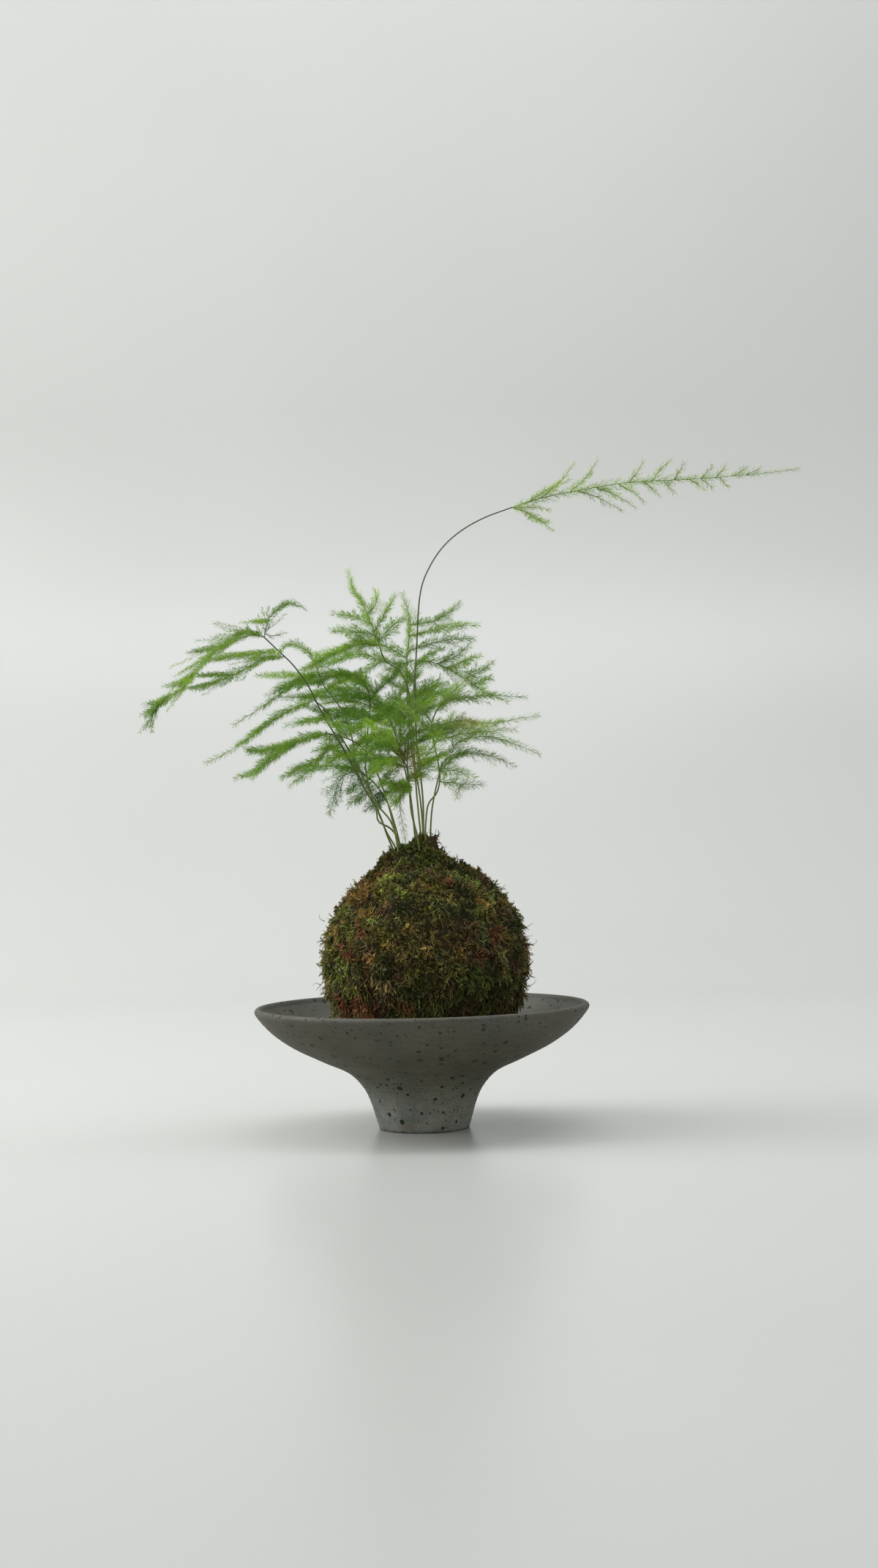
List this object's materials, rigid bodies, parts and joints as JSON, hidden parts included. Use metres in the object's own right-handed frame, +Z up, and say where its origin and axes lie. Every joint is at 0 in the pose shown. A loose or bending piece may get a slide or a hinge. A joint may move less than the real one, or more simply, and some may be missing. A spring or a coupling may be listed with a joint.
{
  "type": "kokedama moss ball plant",
  "caption": "Moss ball planted with a feathery asparagus fern, one long frond arching far to the side, standing in a flared stoneware dish on a foot.",
  "frame": {"origin": "centre of the foot's underside, on the surface that the dish stands on", "axes": "+Z up along the dish's turning axis, +X to the right in the picture, towards the tip of the long frond, and -Y towards the viewer"},
  "size_m": [0.35, 0.1798, 0.357],
  "materials": {
    "stoneware": "matte",
    "moss": "matte",
    "soil": "matte",
    "fern": "matte"
  },
  "bodies": {
    "root": {"dish": "stoneware", "moss_skin": "moss", "soil_and_roots": "soil", "frond_far_left": "fern", "frond_left_upper": "fern", "frond_left_middle": "fern", "frond_left_long": "fern", "frond_left_low": "fern", "frond_left_hanging": "fern", "frond_top_left": "fern", "frond_top_middle": "fern", "frond_tall_plume": "fern", "frond_right_upper": "fern", "frond_right_middle": "fern", "frond_right_low": "fern", "frond_centre_front": "fern", "frond_centre_back": "fern"}
  },
  "joints": []
}
